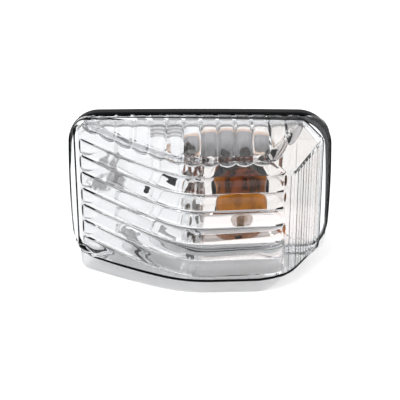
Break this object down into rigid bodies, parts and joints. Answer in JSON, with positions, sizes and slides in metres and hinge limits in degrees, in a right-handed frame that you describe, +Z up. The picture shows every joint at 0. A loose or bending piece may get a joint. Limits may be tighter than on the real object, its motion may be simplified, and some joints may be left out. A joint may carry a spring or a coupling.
{
  "type": "side repeater lamp",
  "caption": "Vehicle side repeater lamp: clear ribbed wrap-round lens with a sloping roof over a metallised reflector and amber bulb, on a black gasketed rim with a twist-in holder.",
  "frame": {"origin": "middle of the mounting face, on the plane where the gasket meets the vehicle's panel, half way between the studs", "axes": "+X to the right seen from the front, +Y back into the vehicle along the studs and the bulb, +Z up"},
  "size_m": [0.1232, 0.0824, 0.0777],
  "materials": {
    "clear_lens": "clear moulded plastic, glossy, ribbed inside",
    "black_plastic": "black moulded plastic, satin",
    "black_rubber": "black closed-cell rubber",
    "sealant": "dark grey butyl bead",
    "reflector_metal": "plastic with a vacuum-metallised face",
    "plated_steel": "zinc-plated steel",
    "vent_rubber": "black moulded rubber",
    "filter_felt": "white porous disc",
    "holder_plastic": "dark grey moulded plastic",
    "seal_rubber": "brown-red moulded rubber",
    "sleeve_metal": "tinned steel sheet",
    "terminal_brass": "bent brass strip",
    "amber_glass": "amber coated glass",
    "base_metal": "nickel-plated brass",
    "black_glass": "black fused insulator",
    "solder": "dull solder",
    "stem_glass": "clear glass",
    "lead_wire": "drawn nickel wire",
    "tungsten": "coiled tungsten"
  },
  "bodies": {
    "lamp_body": {"lens": "clear_lens", "housing": "black_plastic", "body_gasket": "black_rubber", "lens_sealant": "sealant", "reflector": "reflector_metal", "reflector_screws": "plated_steel", "mounting_studs": "plated_steel", "vent_cap": "vent_rubber", "vent_filter": "filter_felt"},
    "twist_holder": {"bulb_holder": "holder_plastic", "holder_seal": "seal_rubber", "bayonet_sleeve": "sleeve_metal", "live_terminal": "terminal_brass", "earth_terminal": "terminal_brass", "bulb_glass": "amber_glass", "bulb_base": "base_metal", "bulb_insulator": "black_glass", "bulb_contact": "solder", "bulb_stem": "stem_glass", "bulb_leads": "lead_wire", "bulb_filament": "tungsten"}
  },
  "joints": [
    {"name": "holder_turn", "type": "hinge", "parent": "lamp_body", "child": "twist_holder", "pos_m": [0.019, 0, 0], "axis": [0, 1, 0], "range_deg": [0, 40]}
  ]
}
